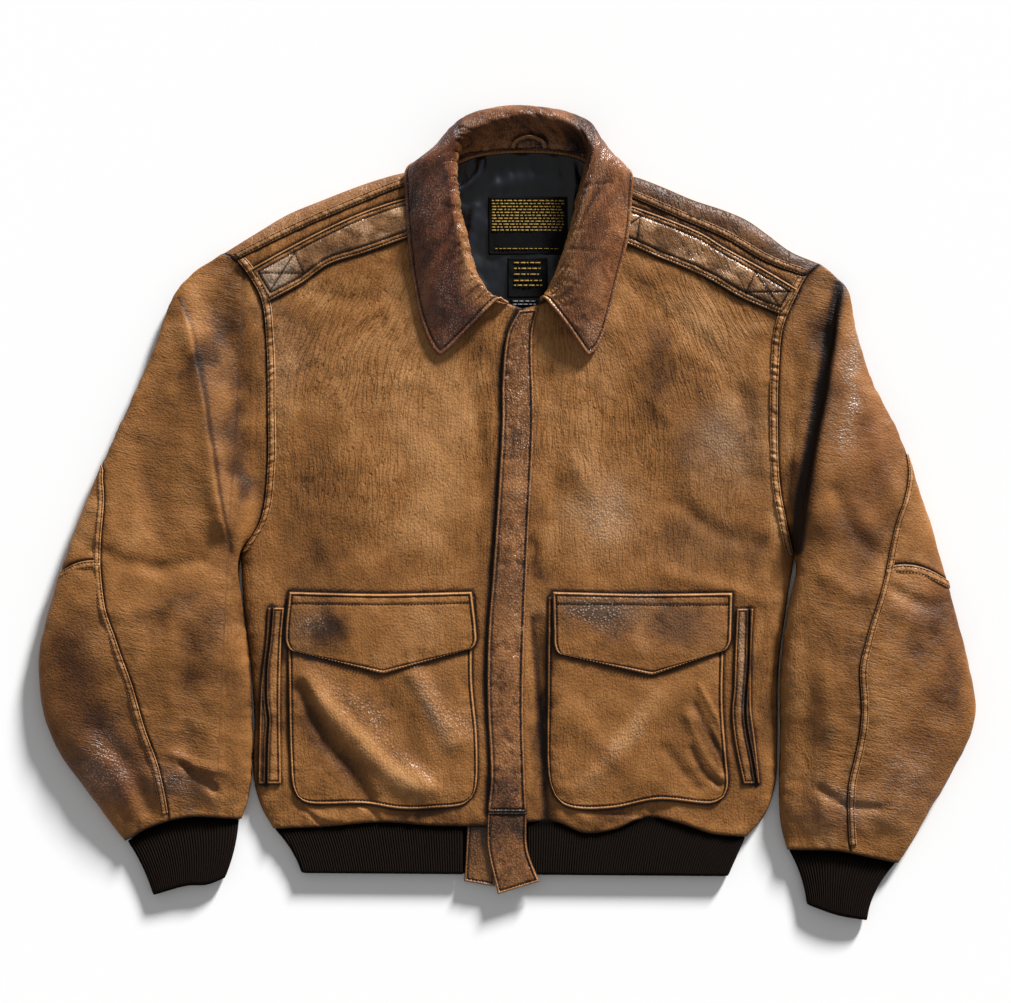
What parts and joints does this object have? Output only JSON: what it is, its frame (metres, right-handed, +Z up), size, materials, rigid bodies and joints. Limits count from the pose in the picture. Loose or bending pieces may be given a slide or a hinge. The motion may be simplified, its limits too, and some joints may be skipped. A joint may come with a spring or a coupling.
{
  "type": "leather jacket",
  "caption": "Worn leather flight jacket laid flat, closed under a wind flap: pointed collar, shoulder straps, flapped patch pockets, side-entry welts, and rib knit cuffs and waistband.",
  "frame": {"origin": "on the surface that the jacket lies on, under the middle of its outline", "axes": "+X to the right of the jacket as it is looked down on, +Y towards the collar, +Z up from the surface"},
  "size_m": [0.8867, 0.7738, 0.0325],
  "materials": {
    "leather_tan": "worn tan-brown leather, rubbed shiny in places",
    "leather_dark": "darker, more rubbed brown leather",
    "leather_red_brown": "glossy dark red-brown leather",
    "rib_knit": "matte near-black brown rib knit",
    "satin": "slate-black satin lining",
    "woven_tape": "black woven label tape"
  },
  "bodies": {
    "root": {"back": "leather_tan", "front_left": "leather_tan", "front_right": "leather_tan", "sleeve_left_top": "leather_tan", "sleeve_left_upper": "leather_tan", "sleeve_left_lower": "leather_tan", "sleeve_right_top": "leather_tan", "sleeve_right_upper": "leather_tan", "sleeve_right_lower": "leather_tan", "pocket_left": "leather_tan", "pocket_right": "leather_tan", "welt_left_outer": "leather_tan", "welt_left_inner": "leather_tan", "welt_right_outer": "leather_tan", "welt_right_inner": "leather_tan", "hanger_loop": "leather_tan", "yoke_left": "leather_dark", "yoke_right": "leather_dark", "strap_left": "leather_dark", "strap_right": "leather_dark", "wind_flap": "leather_dark", "wind_flap_tab": "leather_dark", "under_tab": "leather_dark", "pocket_flap_left": "leather_dark", "pocket_flap_right": "leather_dark", "collar": "leather_red_brown", "cuff_left": "rib_knit", "cuff_right": "rib_knit", "waistband": "rib_knit", "lining": "satin", "label_main": "woven_tape", "label_size": "woven_tape", "label_care": "woven_tape"}
  },
  "joints": []
}
